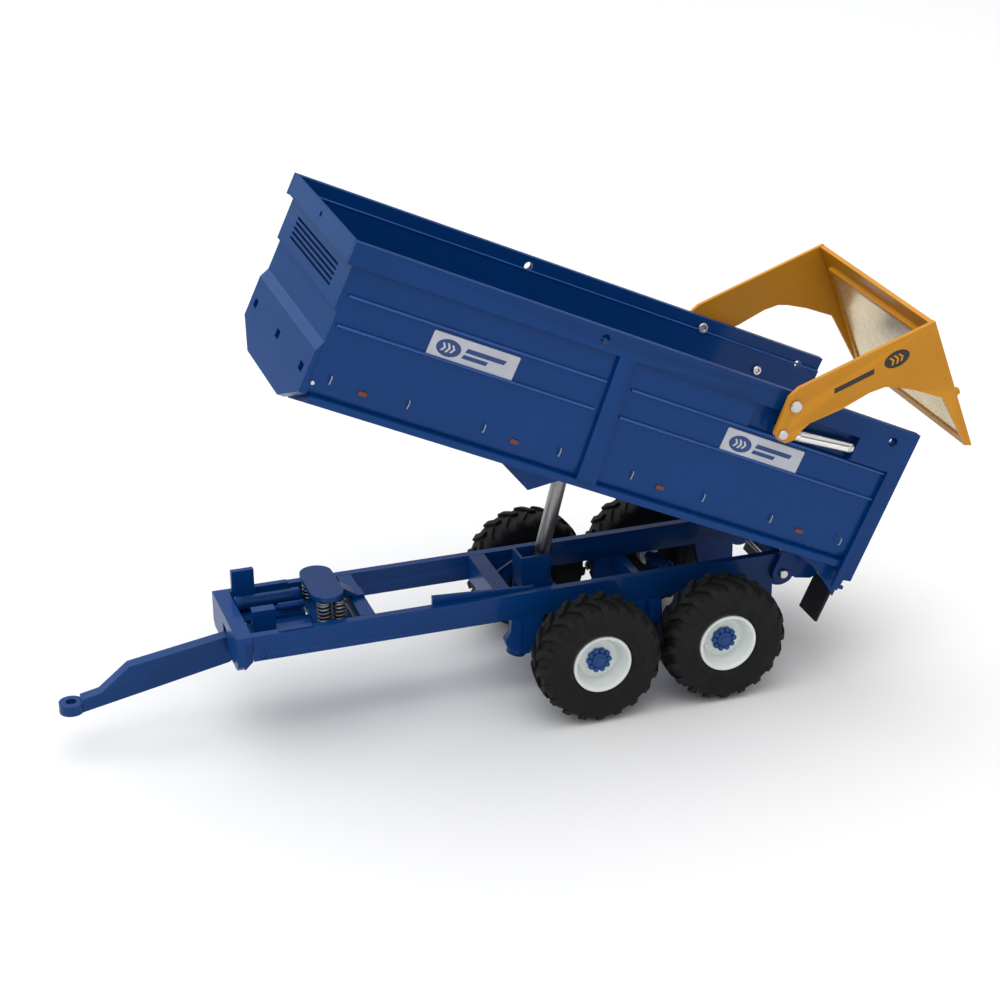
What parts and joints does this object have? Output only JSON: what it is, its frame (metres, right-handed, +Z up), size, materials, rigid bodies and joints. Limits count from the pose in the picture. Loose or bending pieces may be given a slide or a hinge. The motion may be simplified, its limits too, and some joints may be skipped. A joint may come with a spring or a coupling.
{
  "type": "toy farm tipping trailer",
  "caption": "Toy farm trailer: tandem-axle chassis with drawbar, tub tipped by a telescopic ram, and a swinging tailgate on two arms worked by small rams.",
  "frame": {"origin": "middle of the bounding box's bottom face, on the ground", "axes": "+X to the rear (tailgate end), -X to the drawbar, -Y the trailer's left, +Z up; tub tipped 25 degrees, tailgate open"},
  "size_m": [0.2726, 0.0782, 0.157],
  "materials": {
    "blue_paint": "glossy deep blue paint",
    "chassis_blue": "satin deep blue",
    "axle_blue": "satin deep blue",
    "yellow_paint": "satin amber yellow",
    "tyre": "matte black rubber",
    "rim": "satin pale grey",
    "hub_blue": "glossy blue",
    "pin_steel": "bright steel",
    "spring_steel": "dark spring steel",
    "ram_chrome": "polished",
    "ram_steel": "satin grey steel",
    "black_plastic": "matte black"
  },
  "bodies": {
    "chassis": {"chassis_rail_left": "chassis_blue", "chassis_rail_right": "chassis_blue", "headstock": "chassis_blue", "spring_crossmember": "chassis_blue", "ram_crossmember": "chassis_blue", "axle_crossmember": "chassis_blue", "rear_crossmember": "chassis_blue", "ram_cradle": "chassis_blue", "front_post": "chassis_blue", "oil_tank": "chassis_blue", "valve_block": "chassis_blue", "spring_plate": "chassis_blue", "drawbar_spring_front_left": "spring_steel", "drawbar_spring_front_right": "spring_steel", "drawbar_spring_rear_left": "spring_steel", "drawbar_spring_rear_right": "spring_steel", "drawbar_pin": "chassis_blue", "body_hinge_pin": "pin_steel", "suspension_left": "chassis_blue", "suspension_right": "chassis_blue", "front_axle": "axle_blue", "rear_axle": "axle_blue"},
    "drawbar": {"drawbar": "chassis_blue"},
    "tipping_body": {"tub": "blue_paint", "side_frame_left": "blue_paint", "side_frame_right": "blue_paint", "sill_left": "blue_paint", "sill_right": "blue_paint", "ram_crossbeam": "blue_paint", "ram_top_pin": "pin_steel", "mudflap_left": "black_plastic", "mudflap_right": "black_plastic", "gate_pivot_pin_left": "pin_steel", "gate_pivot_pin_right": "pin_steel", "gate_ram_mount_pin_left": "pin_steel", "gate_ram_mount_pin_right": "pin_steel"},
    "tailgate": {"gate_panel": "yellow_paint", "gate_arm_left": "yellow_paint", "gate_arm_right": "yellow_paint", "gate_ram_pin_left": "pin_steel", "gate_ram_pin_right": "pin_steel"},
    "gate_barrel_left": {"gate_ram_barrel_left": "ram_chrome"},
    "gate_barrel_right": {"gate_ram_barrel_right": "ram_chrome"},
    "gate_rod_left": {"gate_ram_rod_left": "ram_chrome"},
    "gate_rod_right": {"gate_ram_rod_right": "ram_chrome"},
    "tipping_ram": {"ram_barrel": "chassis_blue"},
    "tipping_ram_stage_one": {"ram_stage_one": "ram_steel"},
    "tipping_ram_stage_two": {"ram_stage_two": "ram_steel"},
    "wheel_front_left": {"tyre_front_left": "tyre", "rim_front_left": "rim", "hub_cap_front_left": "hub_blue"},
    "wheel_front_right": {"tyre_front_right": "tyre", "rim_front_right": "rim", "hub_cap_front_right": "hub_blue"},
    "wheel_rear_left": {"tyre_rear_left": "tyre", "rim_rear_left": "rim", "hub_cap_rear_left": "hub_blue"},
    "wheel_rear_right": {"tyre_rear_right": "tyre", "rim_rear_right": "rim", "hub_cap_rear_right": "hub_blue"}
  },
  "joints": [
    {"name": "wheel_front_left_spin", "type": "hinge", "parent": "chassis", "child": "wheel_front_left", "pos_m": [0.01846, -0.03215, 0.0194], "axis": [0, 1, 0], "continuous": true},
    {"name": "wheel_front_right_spin", "type": "hinge", "parent": "chassis", "child": "wheel_front_right", "pos_m": [0.01846, 0.03215, 0.0194], "axis": [0, 1, 0], "continuous": true},
    {"name": "wheel_rear_left_spin", "type": "hinge", "parent": "chassis", "child": "wheel_rear_left", "pos_m": [0.05866, -0.03215, 0.0194], "axis": [0, 1, 0], "continuous": true},
    {"name": "wheel_rear_right_spin", "type": "hinge", "parent": "chassis", "child": "wheel_rear_right", "pos_m": [0.05866, 0.03215, 0.0194], "axis": [0, 1, 0], "continuous": true},
    {"name": "body_tip", "type": "hinge", "parent": "chassis", "child": "tipping_body", "pos_m": [0.08516, 0, 0.0294], "axis": [0, 1, 0], "range_deg": [-25, 4]},
    {"name": "gate_swing", "type": "hinge", "parent": "tipping_body", "child": "tailgate", "pos_m": [0.0775, 0, 0.09366], "axis": [0, 1, 0], "range_deg": [-5, 45]},
    {"name": "ram_swing", "type": "hinge", "parent": "chassis", "child": "tipping_ram", "pos_m": [0.00896, 0, 0.026], "axis": [0, 1, 0], "range_deg": [-12.5, 2.5]},
    {"name": "ram_stage_one_slide", "type": "slide", "parent": "tipping_ram", "child": "tipping_ram_stage_one", "axis": [0.2463, 0, 0.9692], "range_m": [-0.0195, 0.0035]},
    {"name": "ram_stage_two_slide", "type": "slide", "parent": "tipping_ram_stage_one", "child": "tipping_ram_stage_two", "axis": [0.2463, 0, 0.9692], "range_m": [-0.014, 0.0025]},
    {"name": "gate_ram_swing_left", "type": "hinge", "parent": "tipping_body", "child": "gate_barrel_left", "pos_m": [0.09666, -0.0346, 0.07678], "axis": [0, 1, 0], "range_deg": [-1, 6]},
    {"name": "gate_rod_slide_left", "type": "slide", "parent": "gate_barrel_left", "child": "gate_rod_left", "axis": [-0.9377, 0, 0.3474], "range_m": [-0.001, 0.007]},
    {"name": "gate_ram_swing_right", "type": "hinge", "parent": "tipping_body", "child": "gate_barrel_right", "pos_m": [0.09666, 0.0346, 0.07678], "axis": [0, 1, 0], "range_deg": [-1, 6]},
    {"name": "gate_rod_slide_right", "type": "slide", "parent": "gate_barrel_right", "child": "gate_rod_right", "axis": [-0.9377, 0, 0.3474], "range_m": [-0.001, 0.007]},
    {"name": "drawbar_pitch", "type": "hinge", "parent": "chassis", "child": "drawbar", "pos_m": [-0.07844, 0, 0.0289], "axis": [0, 1, 0], "range_deg": [-2, 2], "stiffness_Nm_per_rad": 0.4, "deforming": ["drawbar_spring_front_left", "drawbar_spring_front_right", "drawbar_spring_rear_left", "drawbar_spring_rear_right"]}
  ],
  "couplings": [
    {"joint": "ram_swing", "follows": "body_tip", "ratio": 0.475},
    {"joint": "ram_stage_one_slide", "follows": "body_tip", "m_per_rad": 0.04354},
    {"joint": "ram_stage_two_slide", "follows": "body_tip", "m_per_rad": 0.03094},
    {"joint": "gate_ram_swing_left", "follows": "gate_swing", "ratio": 0.115},
    {"joint": "gate_rod_slide_left", "follows": "gate_swing", "m_per_rad": 0.00848},
    {"joint": "gate_ram_swing_right", "follows": "gate_swing", "ratio": 0.115},
    {"joint": "gate_rod_slide_right", "follows": "gate_swing", "m_per_rad": 0.00848}
  ]
}
